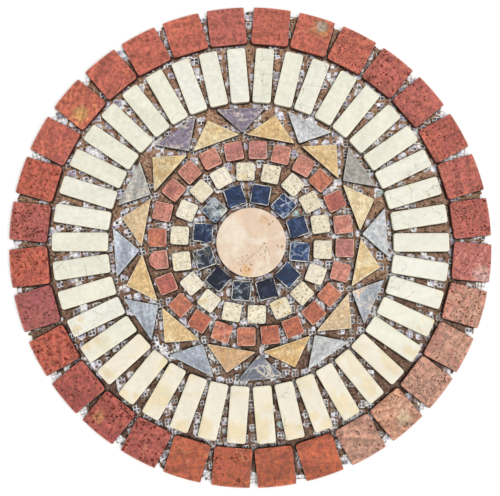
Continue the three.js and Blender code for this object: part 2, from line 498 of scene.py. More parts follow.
def newGroup(name, inputs, outputs):
    group = bpy.data.node_groups.new(name, "ShaderNodeTree")
    for label, value in inputs.items():
        kind = "NodeSocketVector" if value is None else "NodeSocketFloat"
        socket = group.interface.new_socket(name=label, in_out="INPUT", socket_type=kind)
        if value is not None:
            socket.default_value = value
    for label in outputs:
        group.interface.new_socket(name=label, in_out="OUTPUT", socket_type="NodeSocketFloat")
    entry = group.nodes.new("NodeGroupInput")
    leave = group.nodes.new("NodeGroupOutput")
    return group, entry.outputs, leave.inputs


def useGroup(tree, group, **inputs):
    made = tree.nodes.new("ShaderNodeGroup")
    made.node_tree = group
    return feed(tree, made, inputs).outputs


def makeCloudGroup():
    # broad clouding, fine mottling and strata, each from 0 to 1
    group, given, result = newGroup(
        "stoneClouds", {"Vector": None, "Broad": 40, "Fine": 260, "Strata": 90}, ["Broad", "Fine", "Strata"]
    )
    vector = given["Vector"]
    broad = noiseOf(group, vector, given["Broad"], 4, 0.6, 0.6)
    fine = noiseOf(group, vector, given["Fine"], 5, 0.65)
    parts = put(group, "SeparateXYZ", {"Vector": vector}).outputs
    wander = noiseOf(group, vector, 30, 3, 0.5)
    along = calc(group, "MULTIPLY_ADD", wander, 0.012, parts["X"])
    slow = calc(group, "MULTIPLY", parts["Y"], 0.09)
    level = put(group, "CombineXYZ", {"X": along, "Y": slow}).outputs[0]
    strata = noiseOf(group, level, given["Strata"], 5, 0.68)
    group.links.new(ramp(group, broad, 0.3, 0.7), result["Broad"])
    group.links.new(ramp(group, fine, 0.28, 0.72), result["Fine"])
    group.links.new(ramp(group, strata, 0.3, 0.7), result["Strata"])
    return group


def makeVeinGroup():
    # thin broken lines along the borders of a wandering cell pattern
    group, given, result = newGroup(
        "stoneVeins", {"Vector": None, "Scale": 60, "Width": 0.03, "Share": 0.5}, ["Mask"]
    )
    vector = given["Vector"]
    wander = put(group, "TexNoise", {"Vector": vector, "Scale": 55, "Detail": 4, "Roughness": 0.6})
    shift = put(group, "VectorMath", {0: wander.outputs["Color"], 1: (0.5, 0.5, 0.5)}, operation="SUBTRACT")
    push = put(group, "VectorMath", {0: shift.outputs[0], "Scale": 0.02}, operation="SCALE")
    moved = put(group, "VectorMath", {0: vector, 1: push.outputs[0]}, operation="ADD")
    cells = put(
        group, "TexVoronoi", {"Vector": moved.outputs[0], "Scale": given["Scale"]}, feature="DISTANCE_TO_EDGE"
    )
    line = calc(group, "DIVIDE", cells.outputs["Distance"], given["Width"])
    line = calc(group, "SUBTRACT", 1.0, line, clamp=True)
    broken = noiseOf(group, vector, 85, 2, 0.5)
    least = calc(group, "SUBTRACT", 0.72, calc(group, "MULTIPLY", given["Share"], 0.5))
    present = calc(group, "MULTIPLY", calc(group, "SUBTRACT", broken, least), 9.0, clamp=True)
    group.links.new(calc(group, "MULTIPLY", line, present, clamp=True), result["Mask"])
    return group


def makeSpeckGroup():
    # small pits too fine to model: specks darkened by the dirt in them and by painted shade, and how far they
    # sink
    group, given, result = newGroup(
        "stoneSpecks", {"Vector": None, "Scale": 420, "Share": 0.4}, ["Mask", "Height"]
    )
    vector = given["Vector"]
    stretch = put(group, "TexNoise", {"Vector": vector, "Scale": 300, "Detail": 2})
    push = put(group, "VectorMath", {0: stretch.outputs["Color"], "Scale": 0.0016}, operation="SCALE")
    moved = put(group, "VectorMath", {0: vector, 1: push.outputs[0]}, operation="ADD")
    cells = put(group, "TexVoronoi", {"Vector": moved.outputs[0], "Scale": given["Scale"]})
    gathered = noiseOf(group, vector, 75, 3, 0.6)
    size = calc(group, "MULTIPLY", calc(group, "SUBTRACT", gathered, 0.6), 2.0)
    size = calc(group, "ADD", size, calc(group, "MULTIPLY", given["Share"], 0.8))
    size = calc(group, "MINIMUM", size, 0.42)
    edge = calc(group, "SUBTRACT", size, cells.outputs["Distance"])
    mask = calc(group, "MULTIPLY", edge, 8.0, clamp=True)
    group.links.new(mask, result["Mask"])
    group.links.new(calc(group, "SUBTRACT", 1.0, mask), result["Height"])
    return group


def makeRimGroup():
    # 1 at the tile's arris, fading in with a ragged border
    group, given, result = newGroup(
        "wornRim", {"Vector": None, "Level": 0.0, "Distance": 0.0, "Width": 0.0015}, ["Mask"]
    )
    ragged = noiseOf(group, given["Vector"], 420, 3, 0.6)
    patchy = noiseOf(group, given["Vector"], 90, 2, 0.5)
    reach = calc(group, "MULTIPLY", given["Width"], ramp(group, patchy, 0.3, 0.62, 0.35, 1.25))
    ratio = calc(group, "DIVIDE", given["Distance"], reach)
    ratio = calc(group, "ADD", ratio, calc(group, "MULTIPLY_ADD", ragged, 1.2, -0.6))
    near = calc(group, "MULTIPLY", calc(group, "SUBTRACT", 1.1, ratio), 2.4, clamp=True)
    high = ramp(group, given["Level"], 0.0098, 0.0106)
    group.links.new(calc(group, "MULTIPLY", near, high), result["Mask"])
    return group


def makeWallStainAndShadeGroup():
    # painted shade on the rough sawn walls of a tile below its top, and how far adhesive and dust have crept
    # up them, with painted shade at their foot
    group, given, result = newGroup(
        "beddedWall", {"Vector": None, "Level": 0.0, "Distance": 0.0}, ["Wall", "StainAndShade"]
    )
    creep = noiseOf(group, given["Vector"], 160, 3, 0.6)
    level = calc(group, "MULTIPLY_ADD", creep, -0.006, given["Level"])
    group.links.new(ramp(group, level, -0.0002, 0.0028, 1.0, 0.0), result["StainAndShade"])
    low = ramp(group, given["Level"], 0.0084, 0.0106, 1.0, 0.0)
    outer = ramp(group, given["Distance"], 0.0003, 0.001, 1.0, 0.0)
    group.links.new(calc(group, "MULTIPLY", low, outer), result["Wall"])
    return group


def makeMaterial(name):
    material = bpy.data.materials.new(name)
    material.use_nodes = True
    tree = material.node_tree
    return material, tree, tree.nodes["Principled BSDF"]


def stoneMaterial(name, look):
    # the tones and habit come from each tile's own attributes; the look is shared by its kind
    material, tree, shader = makeMaterial(name)
    place = put(tree, "Attribute", attribute_name="stonePlace").outputs["Vector"]
    rim = put(tree, "Attribute", attribute_name="rimDistance").outputs["Fac"]
    tone = put(tree, "Attribute", attribute_name="tone").outputs["Color"]
    second = put(tree, "Attribute", attribute_name="secondTone").outputs["Color"]
    habit = put(tree, "Attribute", attribute_name="habit")
    parts = put(tree, "SeparateColor", {"Color": habit.outputs["Color"]}).outputs
    banding, speckling, sharing, veining = parts["Red"], parts["Green"], parts["Blue"], habit.outputs["Alpha"]
    worldPlace = put(tree, "TexCoord").outputs["Object"]
    level = put(tree, "SeparateXYZ", {"Vector": worldPlace}).outputs["Z"]

    clouds = useGroup(tree, groups["clouds"], Vector=place, Broad=look["broad"], Fine=look["fine"],
                      Strata=look["strata"])
    pattern = put(tree, "Mix", {0: banding, 2: clouds["Broad"], 3: clouds["Strata"]}).outputs[0]
    limit = calc(tree, "SUBTRACT", 1.0, sharing)
    shared = calc(tree, "MULTIPLY", calc(tree, "SUBTRACT", pattern, limit), 2.2)
    shared = calc(tree, "ADD", shared, calc(tree, "MULTIPLY_ADD", clouds["Fine"], 0.5, -0.15), clamp=True)
    shared = calc(tree, "MULTIPLY", shared, ramp(tree, sharing, 0.0, 0.12))
    colour = mixColours(tree, shared, tone, second)

    fineShade = ramp(tree, clouds["Fine"], 0, 1, 1 - look["mottle"], 1 + 0.6 * look["mottle"])
    broadShade = ramp(tree, clouds["Strata"], 0, 1, 1 - look["strataShade"], 1 + 0.6 * look["strataShade"])
    shade = calc(tree, "MULTIPLY", fineShade, broadShade)
    shadeColour = put(tree, "CombineColor", {"Red": shade, "Green": shade, "Blue": shade}).outputs[0]
    colour = mixColours(tree, 1.0, colour, shadeColour, "MULTIPLY")

    veins = useGroup(tree, groups["veins"], Vector=place, Scale=look["veinScale"], Width=look["veinWidth"],
                     Share=veining)
    veinMask = calc(tree, "MULTIPLY", veins["Mask"], calc(tree, "MULTIPLY", veining, 1.6, clamp=True))
    veinMask = calc(tree, "MULTIPLY", veinMask, look["veinForce"])
    colour = mixColours(tree, veinMask, colour, paint(look["veinColour"]))

    specks = useGroup(tree, groups["specks"], Vector=place, Scale=look["speckScale"], Share=speckling)
    # the specks' colour is the dirt in the tiny pits and the painted shade inside them
    speckMask = calc(tree, "MULTIPLY", specks["Mask"], look["speckForce"])
    colour = mixColours(tree, speckMask, colour, paint(look["speckDirtAndShade"]))

    worn = useGroup(tree, groups["rim"], Vector=place, Level=level, Distance=rim, Width=look["rimWidth"] * mm)
    rimMask = calc(tree, "MULTIPLY", worn["Mask"], look["rimForce"])
    colour = mixColours(tree, rimMask, colour, paint(look["rimColour"]))

    wallStainAndShade = useGroup(tree, groups["wallStainAndShade"], Vector=worldPlace, Level=level, Distance=rim)
    # painted shade: the walls below the top are multiplied by each kind's wall shade
    colour = mixColours(tree, wallStainAndShade["Wall"], colour, paint(look["wallShade"]), "MULTIPLY")
    # adhesive and dust stain at the walls' foot, made dark enough to stand as painted shade there too
    colour = mixColours(tree, calc(tree, "MULTIPLY", wallStainAndShade["StainAndShade"], 0.85), colour, paint(stainAndShadeColour))
    tree.links.new(colour, shader.inputs["Base Color"])

    rough = ramp(tree, clouds["Fine"], 0, 1, look["rough"] - 0.08, look["rough"] + 0.1)
    rough = calc(tree, "MULTIPLY_ADD", speckMask, 0.25, rough, clamp=True)
    tree.links.new(rough, shader.inputs["Roughness"])
    grain = noiseOf(tree, place, look["grainScale"], 4, 0.6)
    height = calc(tree, "MULTIPLY", grain, look["grain"])
    height = calc(tree, "MULTIPLY_ADD", specks["Height"], look["speckDepth"], height)
    height = calc(tree, "MULTIPLY_ADD", veinMask, -0.1, height)
    bump = put(tree, "Bump", {"Strength": 0.6, "Distance": 0.0005, "Height": height})
    tree.links.new(bump.outputs["Normal"], shader.inputs["Normal"])
    shader.inputs["Specular IOR Level"].default_value = look["gloss"]
    return material


groups = {
    "clouds": makeCloudGroup(), "veins": makeVeinGroup(), "specks": makeSpeckGroup(),
    "rim": makeRimGroup(), "wallStainAndShade": makeWallStainAndShadeGroup(),
}
print("shader groups made")


def number(name, i):
    return name + "_" + str(i + 1).zfill(2)


farAway = 999  # stands for the distance to a side that the round cutter has taken off


def layTiles(name, ring, tiles, material, node=None, spare=0):
    # models one tile of the ring, then lays a worn copy of it at each place
    look = tiles["shape"]
    laid = laidTiles(ring)
    length = ring["depth"] + spare
    width = 2 * max(tile["halfWidth"] for tile in laid)
    master = modelBlock(name + "_model", -ring["depth"] / 2, length, width, look)
    for i, tile in enumerate(laid):
        seed = tiles["seed"] + i
        rng = random.Random(seed)
        piece = copyOf(master, number(name, i) + "_stone")
        narrow = 2 * tile["halfWidth"] / width
        short = 2 * tile["halfDepth"] / ring["depth"]
        flat = 1 - rng.uniform(0, look["lower"]) / panel["thickness"]
        piece.data.transform(Matrix.Diagonal((short, narrow, flat, 1)))
        sides = blockSides(tile["halfDepth"] + spare * short, tile["halfWidth"])
        sides[1] = (-1, 0, tile["halfDepth"])
        weather(piece, sides, look, seed)
        for corner in tiles.get("broken", {}).get(i, []):
            breakCorner(piece, tile, corner)
        stone = tiles["stones"](i, tile, rng)
        places = pitPlaces(rng, tile["halfDepth"], tile["halfWidth"], stone["pits"]) if stone["pits"] else []
        places = [p for p in places if not any(nearHole(p, hole) for hole in stone.get("holes", []))]
        top = panel["thickness"] * flat - look["uneven"] / 2
        cutPits(piece, places + stone.get("holes", []), top, seed)
        place = standPlace(tile["radius"], tile["angle"], tile["turn"])
        piece.data.transform(place)
        if spare:
            applyBoolean(piece, roundCutter, "INTERSECT")
        sides[0] = (1, 0, farAway if spare else tile["halfDepth"])
        markStone(piece, place, sides, stone, seed)
        addPiece(piece, material, [node or number(name, i)])
    bpy.data.objects.remove(master)
    print(name, "laid,", len(laid), "tiles")


def nearHole(pit, hole):
    return math.hypot(pit[0] - hole[0], pit[1] - hole[1]) < 0.56 * (pit[2] + hole[2]) + 0.15


def breakCorner(piece, tile, corner):
    # knocks off a corner: corner is (end, side, size), end 1 for the outer end and side 1 for anticlockwise
    end, side, size = corner
    select(piece)
    bpy.ops.object.mode_set(mode="EDIT")
    bpy.ops.mesh.select_all(action="SELECT")
    at = Vector((end * (tile["halfDepth"] - size), side * tile["halfWidth"], 0)) * mm
    bpy.ops.mesh.bisect(plane_co=at, plane_no=(end, side, 0.12), use_fill=True, clear_outer=True)
    bpy.ops.object.mode_set(mode="OBJECT")


def makeRoundCutter():
    deselectAll()
    bpy.ops.mesh.primitive_cylinder_add(
        vertices=panel["rimFacets"], radius=panelRadius * mm, depth=0.05, location=(0, 0, 0)
    )
    return bpy.context.object


roundCutter = makeRoundCutter()

# Centre disc of peach marble
centreDisc = {
    "shape": {
        "facets": 128, "edge": 0.8, "cell": 1.9, "uneven": 0.12, "outline": 0.12, "waviness": 0.15,
        "nick": 0.8, "nickFrom": 0.25, "nickPitch": 0.4,
    },
    "look": {
        "broad": 26, "fine": 210, "strata": 40, "mottle": 0.08, "strataShade": 0.04,
        "veinScale": 60, "veinWidth": 0.022, "veinForce": 0.6, "veinColour": "A8765A",
        "speckScale": 400, "speckForce": 0.5, "speckDirtAndShade": "A5714C", "speckDepth": 0.5,
        "rimWidth": 1.1, "rimForce": 0.45, "rimColour": "F6E4CC", "wallShade": "C8B8A8",
        "rough": 0.45, "grain": 0.1, "grainScale": 900, "gloss": 0.4,
    },
    "holes": [(16, -1.5, 3.4, 2.6, 0.4), (-3, -34, 4.2, 2.4, 1.1), (38.5, -9.5, 1.7, 1.2, 0.2)],
    "cracks": [
        [(16, -2), (20, -8), (24, -17)],
        [(16, -2), (9, -11), (3, -15), (-4, -20), (-8, -29), (-3, -34)],
        [(-15, -29), (-10, -22), (-12, -15)],
        [(17, 31), (23, 26)],
    ],
    "clusters": [(-9, -26, 5.5, 40), (15, -10, 5, 34), (34, -8, 3, 6), (20, 28, 3, 8)],
    "patches": [(-6, -36, 9, "EBBE8C", None), (2, -20, 22, None, 0.9), (17, 28, 9, "E6C4A0", 0.6)],
}


def addDisc():
    material = stoneMaterial("peach_marble", centreDisc["look"])
    disc = modelDisc("disc_model", centreDisc["shape"])
    disc.name = "centre_disc_stone"
    weather(disc, discSides(), centreDisc["shape"], 5)
    rng = random.Random(77)
    openings = list(centreDisc["holes"])

    def addOpening(x, y, length, width, turn):
        spot = (x, y, length, width, turn)
        inside = math.hypot(x, y) < panel["discRadius"] - 2
        if inside and not any(nearHole(spot, other) for other in openings):
            openings.append(spot)

    for line in centreDisc["cracks"]:
        for start, end in zip(line, line[1:]):
            steps = max(1, round(math.dist(start, end) / 2.9))
            turn = math.atan2(end[1] - start[1], end[0] - start[0])
            for k in range(steps):
                share = (k + 0.5) / steps
                x = start[0] + (end[0] - start[0]) * share + rng.gauss(0, 0.25)
                y = start[1] + (end[1] - start[1]) * share + rng.gauss(0, 0.25)
                addOpening(x, y, 2.4, rng.uniform(1.0, 1.5), turn + rng.uniform(-0.4, 0.4))
    for x, y, spread, tries in centreDisc["clusters"]:
        for _ in range(tries):
            length = 1.2 + 2.8 * rng.random() ** 2
            width = length * rng.uniform(0.4, 0.75)
            addOpening(rng.gauss(x, spread), rng.gauss(y, spread), length, width, rng.uniform(0, 3))
    top = panel["thickness"] - centreDisc["shape"]["uneven"] / 2
    cutPits(disc, openings, top, 7)
    place = standPlace(0, 0, 0)
    disc.data.transform(place)
    stone = {
        "tone": "E8CCB0", "second": "F1E0CA", "habit": (0.1, 0.1, 0.5, 0.3), "patches": centreDisc["patches"],
    }
    markStone(disc, place, discSides(), stone, 11)
    addPiece(disc, material, ["centre_disc"])
    print("disc made")


addCamera()
addStudio()
addDisc()

# Navy marble squares round the disc
darkTiles = {
    "seed": 100,
    "slot": "dark_stone",
    "shape": {
        "corner": 2.6, "edge": 1.1, "cell": 1.4, "uneven": 0.3, "outline": 0.35, "waviness": 0.2,
        "nick": 1.8, "nickFrom": 0.15, "nickPitch": 0.45, "lower": 0.7,
    },
    "look": {
        "broad": 60, "fine": 330, "strata": 130, "mottle": 0.55, "strataShade": 0.3,
        "veinScale": 95, "veinWidth": 0.1, "veinForce": 0.7, "veinColour": "C0CAD8",
        "speckScale": 420, "speckForce": 0.6, "speckDirtAndShade": "05060A", "speckDepth": 0.4,
        "rimWidth": 1.15, "rimForce": 0.95, "rimColour": "E0DAD0", "wallShade": "6E6A68",
        "rough": 0.5, "grain": 0.3, "grainScale": 800, "gloss": 0.2,
    },
    "tones": {
        "navy": ("223458", "465E84"), "streaked": ("2A3C64", "6E82A4"), "marbled": ("50627C", "B4B8A8"),
        "black": ("101830", "343E58"), "olive": ("263040", "7C7E70"), "blue": ("2C4670", "6880A8"),
        "dusky": ("1E2E50", "56708E"),
    },
    "order": "navy streaked navy navy marbled dusky olive black olive black navy blue".split(),
    "veined": {"streaked": 0.7, "marbled": 0.8, "olive": 0.5, "blue": 0.55, "dusky": 0.3, "black": 0.25},
    "shared": {"streaked": 0.4, "marbled": 0.5, "olive": 0.4, "blue": 0.4, "black": 0.35, "navy": 0.35,
               "dusky": 0.4},
}


def darkStone(i, tile, rng):
    kind = darkTiles["order"][i]
    tone, second = darkTiles["tones"][kind]
    habit = (0.3, 0.12, darkTiles["shared"][kind], darkTiles["veined"].get(kind, 0.12))
    return {"tone": tone, "second": second, "habit": habit, "pits": None}


darkTiles["stones"] = darkStone
layTiles("dark_tile", darkRing, darkTiles, stoneMaterial("navy_marble", darkTiles["look"]))

# Small cream travertine squares, with open pits
creamTiles = {
    "seed": 200,
    "slot": "cream_travertine",
    "shape": {
        "corner": 2.8, "edge": 1.2, "cell": 1.4, "uneven": 0.35, "outline": 0.35, "waviness": 0.2,
        "nick": 2.6, "nickFrom": 0.15, "nickPitch": 0.45, "lower": 0.7,
    },
    "look": {
        "broad": 60, "fine": 300, "strata": 120, "mottle": 0.2, "strataShade": 0.1,
        "veinScale": 90, "veinWidth": 0.06, "veinForce": 0.6, "veinColour": "B58E58",
        "speckScale": 400, "speckForce": 0.85, "speckDirtAndShade": "4A3A26", "speckDepth": 0.8,
        "rimWidth": 1.0, "rimForce": 0.5, "rimColour": "FFFAEC", "wallShade": "D8CCBC",
        "rough": 0.62, "grain": 0.35, "grainScale": 700, "gloss": 0.3,
    },
    "pits": {
        "few": {"count": 10, "least": 1.3, "most": 2.6},
        "some": {"count": 20, "least": 1.4, "most": 3.4, "banded": 0.7},
        "many": {"count": 28, "least": 1.5, "most": 4.2, "banded": 0.8},
        "plain": None,
    },
    "order": (
        "some some many few few few few plain few some plain some some many some many some few"
    ).split(),
    "holes": {
        1: [(-2, 6, 2.6, 1.7, 0.9), (-7.5, 3, 2.4, 1.8, 0.2), (-3, -1.5, 1.8, 1.3, 2)],
        3: [(8.2, 5.6, 2.4, 1.2, 0.9)],
        4: [(-2.5, -2.5, 6.5, 1.0, 0.1), (8, 7.5, 2.4, 1.1, 1.2)],
        11: [(-6, -3.5, 2.2, 1.6, 0.4), (1.5, 5.5, 2, 1.1, 2.2)],
        14: [(-5.5, 3.5, 5.2, 1.0, 1.9), (-8, -1.5, 4.2, 1.1, 1.6)],
        16: [(5.5, 4.5, 3.4, 0.9, 0.6)],
        17: [(4, 6.5, 3.6, 1.4, 0.7)],
    },
    "stained": {4: 0.4, 8: 0.35, 11: 0.5, 14: 0.4, 17: 0.3},
}


def creamStone(i, tile, rng):
    pits = creamTiles["pits"][creamTiles["order"][i]]
    return {
        "tone": rng.choice(["F4EACF", "F2E5C8", "F6EDD6"]), "second": "E6CA92",
        "habit": (0.3, 0.3 + 0.15 * rng.random(), creamTiles["stained"].get(i, 0.2), 0.15),
        "pits": pits, "holes": creamTiles["holes"].get(i, []),
    }


creamTiles["stones"] = creamStone
layTiles("cream_tile", creamRing, creamTiles, stoneMaterial("cream_travertine", creamTiles["look"]))

# Small red squares
smallRedTiles = {
    "seed": 300,
    "slot": "small_red_stone",
    "shape": {
        "corner": 2.4, "edge": 1.2, "cell": 1.5, "uneven": 0.3, "outline": 0.35, "waviness": 0.2,
        "nick": 2.4, "nickFrom": 0.18, "nickPitch": 0.45, "lower": 0.7,
    },
    "look": {
        "broad": 60, "fine": 300, "strata": 140, "mottle": 0.46, "strataShade": 0.3,
        "veinScale": 75, "veinWidth": 0.05, "veinForce": 0.7, "veinColour": "EAB8A0",
        "speckScale": 400, "speckForce": 0.75, "speckDirtAndShade": "6A2A20", "speckDepth": 0.5,
        "rimWidth": 1.2, "rimForce": 0.75, "rimColour": "EABEA8", "wallShade": "B09088",
        "rough": 0.58, "grain": 0.3, "grainScale": 700, "gloss": 0.35,
    },
    "tones": {
        "coral": ("D48C78", "BE7466"), "orange": ("CE7E5E", "BE6C56"), "rose": ("CA8478", "B47070"),
        "brick": ("C26C5C", "A85852"), "ember": ("C26C4E", "B05C48"),
    },
    "order": (
        "coral brick orange coral coral rose rose coral coral coral coral orange "
        "coral brick orange ember orange orange ember ember ember orange coral rose"
    ).split(),
    "veined": {0: 0.5, 3: 0.35, 12: 0.3, 16: 0.75, 17: 0.5, 18: 0.4},
    "broken": {12: [(1, 1, 6.5), (1, -1, 6)], 4: [(1, 1, 2.5)], 7: [(-1, 1, 2.2)], 22: [(1, 1, 2.6)]},
    "holes": {11: [(2, -5, 3.2, 0.9, 0.3), (-3, -5.6, 3, 0.8, 2.9), (-8, -4.6, 2.2, 0.8, 0.2)]},
}


def smallRedStone(i, tile, rng):
    tone, second = smallRedTiles["tones"][smallRedTiles["order"][i]]
    speck = rng.uniform(0.15, 0.35)
    habit = (rng.choice([0.1, 0.6]), speck, rng.uniform(0.3, 0.55), smallRedTiles["veined"].get(i, 0.2))
    pits = {"count": rng.choice([0, 2, 4, 6]), "least": 0.7, "most": 1.5}
    return {
        "tone": tone, "second": second, "habit": habit, "pits": pits,
        "holes": smallRedTiles["holes"].get(i, []),
    }


smallRedTiles["stones"] = smallRedStone
layTiles(
    "small_red_tile", smallRedRing, smallRedTiles, stoneMaterial("small_red_stone", smallRedTiles["look"]),
    "small_red_ring"
)

# Long cream rays
rays = {
    "seed": 400,
    "slot": "ray_stone",
    "shape": {
        "corner": 3.2, "edge": 1.1, "cell": 2.2, "uneven": 0.14, "outline": 0.2, "waviness": 0.09,
        "nick": 1.6, "nickFrom": 0.22, "nickPitch": 0.35, "lower": 0.6,
    },
    "look": {
        "broad": 22, "fine": 170, "strata": 45, "mottle": 0.09, "strataShade": 0.06,
        "veinScale": 40, "veinWidth": 0.024, "veinForce": 0.8, "veinColour": "8F8B74",
        "speckScale": 380, "speckForce": 0.3, "speckDirtAndShade": "B59F72", "speckDepth": 0.3,
        "rimWidth": 1.4, "rimForce": 0.5, "rimColour": "F3E6C8", "wallShade": "EEE6DA",
        "rough": 0.42, "grain": 0.1, "grainScale": 900, "gloss": 0.4,
    },
    "stain": "EEDCB6",
}


def rayStone(i, tile, rng):
    low = max(0, -math.sin(tile["angle"]))
    warm = 0.15 + 0.35 * low * rng.uniform(0.5, 1.2)
    habit = (0.2, 0.1 * rng.random(), warm, rng.choice([0.1, 0.15, 0.35, 0.6]))
    tone = "F1E9D4" if low > 0.6 else rng.choice(["F1EFE0", "F0EDDD", "EFECD9"])
    stone = {"tone": tone, "second": "EADAB0", "habit": habit, "pits": None, "grainTurn": 1.3}
    if low > 0.35:
        stone["patches"] = [
            (rng.uniform(12, 34), rng.uniform(-10, 10), rng.uniform(7, 14) * low, rays["stain"], None)
            for _ in range(2)
        ]
    return stone


rays["stones"] = rayStone
layTiles("ray_tile", rayRing, rays, stoneMaterial("ray_marble", rays["look"]), "cream_ray_ring")

# Outer ring of red travertine, sawn round on its outer side
outerTiles = {
    "seed": 500,
    "slot": "red_travertine",
    "spare": 8,
    "shape": {
        "corner": 4.4, "edge": 1.5, "cell": 2.1, "uneven": 0.4, "outline": 0.45, "waviness": 0.12,
        "nick": 2.6, "nickFrom": 0.15, "nickPitch": 0.3, "lower": 0.8,
    },
    "look": {
        "broad": 38, "fine": 230, "strata": 90, "mottle": 0.44, "strataShade": 0.3,
        "veinScale": 60, "veinWidth": 0.05, "veinForce": 0.55, "veinColour": "E0A072",
        "speckScale": 330, "speckForce": 0.9, "speckDirtAndShade": "3C1410", "speckDepth": 0.9,
        "rimWidth": 1.3, "rimForce": 0.35, "rimColour": "DA9480", "wallShade": "A08480",
        "rough": 0.62, "grain": 0.45, "grainScale": 600, "gloss": 0.3,
    },
    "tones": {
        "brick": ("C66D5E", "AE5A56"), "russet": ("CC6E59", "B45D54"), "clay": ("C26544", "B25844"),
        "amber": ("CC6E57", "DC9A62"), "scarlet": ("CC6953", "B6584F"), "plum": ("BA6860", "A0555A"),
        "salmon": ("D4A088", "C88674"), "apricot": ("D49A7E", "DEB294"), "rose": ("CA776B", "D8A69C"),
        "wine": ("BA6053", "A04E49"),
    },
    "order": (
        "brick brick russet brick brick russet russet russet brick russet russet "
        "russet amber russet scarlet brick scarlet plum scarlet wine wine wine "
        "clay clay clay clay salmon apricot salmon salmon salmon rose"
    ).split(),
    "pits": {
        "few": {"count": 18, "least": 1.0, "most": 2.2},
        "fine": {"count": 44, "least": 1.0, "most": 2.2},
        "some": {"count": 42, "least": 1.1, "most": 3.4, "banded": 0.7},
        "many": {"count": 70, "least": 1.2, "most": 4.6, "banded": 0.9},
        "large": {"count": 50, "least": 1.3, "most": 6.4, "banded": 0.8},
    },
    "patches": {
        6: [(11, -9, 13, "CA8A5C", None), (13, -8, 9, "B2A090", 0.5)],
        12: [(-8, 8, 12, "E0A468", None)],
        20: [(8, -10, 9, "C9835A", None)],
        27: [(10, 4, 12, "E4C2A0", 0.6)],
        31: [(14, -16, 14, "D8A89C", None)],
    },
    "pitted": (
        "many some some some large some few few few few few few few few large many "
        "large fine large some large large few fine few few fine some fine some many some"
    ).split(),
    "holes": {
        0: [(5, -11, 4, 2, 0), (-3, -19, 3, 2.4, 1), (-16, -11, 7, 2, 0)],
        2: [(-16, 18, 3, 2.6, 0)],
        4: [(-14, -19, 4, 3, 1), (-13, 9, 4, 3, 0.4), (20, -2, 3, 2.4, 0)],
        6: [(17, 18, 2.2, 1.7, 0)],
        7: [(-13, -11, 10, 1.8, 0)],
        10: [(12, -9, 2.4, 1.8, 0)],
        14: [(10, -2, 3, 2.4, 0), (4, -2, 2.2, 1.8, 0), (-10, 4.6, 3, 2.4, 0), (-10, 18, 5, 3.6, 0)],
        15: [(12, -18, 3, 2.6, 0), (-11, 12, 6, 3.6, 0.6), (3, 18, 3, 2.4, 0)],
        16: [(13, 8, 8, 3, 0.8), (-14, 9, 6, 3, 1.2)],
        18: [(16, 3, 6, 3, 0.3), (14, -14, 3, 2.4, 0), (16, 11, 3, 2.2, 0)],
        19: [(17, -14, 4, 1.6, 0.4), (-16, -8, 3, 2.2, 0)],
        20: [(13, 12, 10, 2, 0), (0, 18, 5, 3.6, 1), (-16, 18, 6, 3, 0.5)],
        24: [(14, -2, 12, 1.4, 0.1)],
        27: [(17, 0, 8, 5, 1.57), (-2, -6, 2.5, 2, 0)],
        28: [(12, -18, 2, 1.6, 0)],
        29: [(8, -2, 8, 1.5, 0.2), (-7, -19, 3, 2.2, 0)],
        31: [(-19, -12, 3, 2, 0), (-19, 10, 3, 2.4, 0)],
    },
}


def outerStone(i, tile, rng):
    tone, second = outerTiles["tones"][outerTiles["order"][i]]
    speck = {"few": 0.2, "fine": 0.5, "some": 0.4, "many": 0.65, "large": 0.5}[outerTiles["pitted"][i]]
    habit = (rng.choice([0.2, 0.5, 0.8]), speck, rng.uniform(0.3, 0.55), rng.choice([0.1, 0.2, 0.4]))
    return {
        "tone": tone, "second": second, "habit": habit,
        "pits": outerTiles["pits"][outerTiles["pitted"][i]], "holes": outerTiles["holes"].get(i, []),
        "patches": outerTiles["patches"].get(i, []),
    }


outerTiles["stones"] = outerStone
layTiles(
    "outer_tile", outerRing, outerTiles, stoneMaterial("red_travertine", outerTiles["look"]),
    "outer_red_ring", outerTiles["spare"]
)

